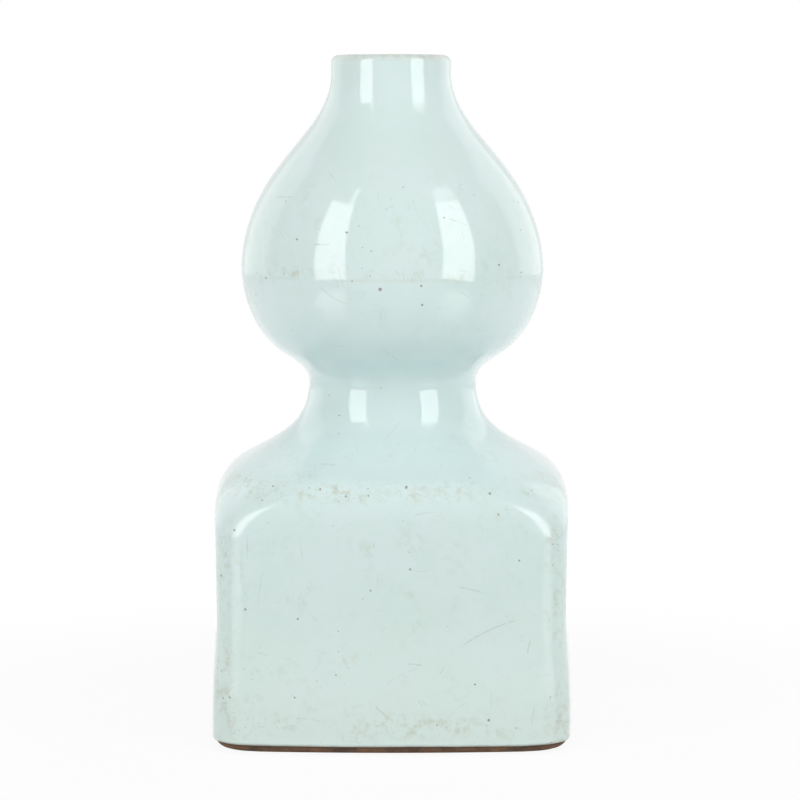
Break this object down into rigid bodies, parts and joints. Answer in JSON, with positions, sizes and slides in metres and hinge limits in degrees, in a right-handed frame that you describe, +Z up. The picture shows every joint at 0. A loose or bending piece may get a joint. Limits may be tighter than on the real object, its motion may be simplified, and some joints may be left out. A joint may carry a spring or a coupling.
{
  "type": "double gourd vase",
  "caption": "Glazed ceramic double gourd vase: round mouth and bulb over a pinched waist and a soft square lower body on a bare brown foot.",
  "frame": {"origin": "centre of the foot, on the plane of the table", "axes": "+Z up through the middle of the mouth, -Y out of the front face of the square body, +X to the right of someone who looks at that face"},
  "size_m": [0.1916, 0.1916, 0.3561],
  "materials": {
    "clay": "matte",
    "slip": "matte",
    "bare_foot": "matte",
    "celadon_glaze": "gloss",
    "lining_glaze": "gloss"
  },
  "bodies": {
    "root": {"neck_collar": "clay", "bulb_upper_half": "clay", "bulb_lower_half": "clay", "waist_collar": "clay", "shoulder": "clay", "wall_front": "clay", "wall_back": "clay", "wall_left": "clay", "wall_right": "clay", "base_slab": "clay", "foot_ring": "bare_foot", "neck_seam": "slip", "equator_seam": "slip", "bulb_waist_seam": "slip", "waist_shoulder_seam": "slip", "shoulder_wall_seam": "slip", "corner_seams": "slip", "base_seam": "slip", "foot_seam": "slip", "glaze_coat": "celadon_glaze", "glaze_lining": "lining_glaze", "underside_glaze": "lining_glaze"}
  },
  "joints": []
}
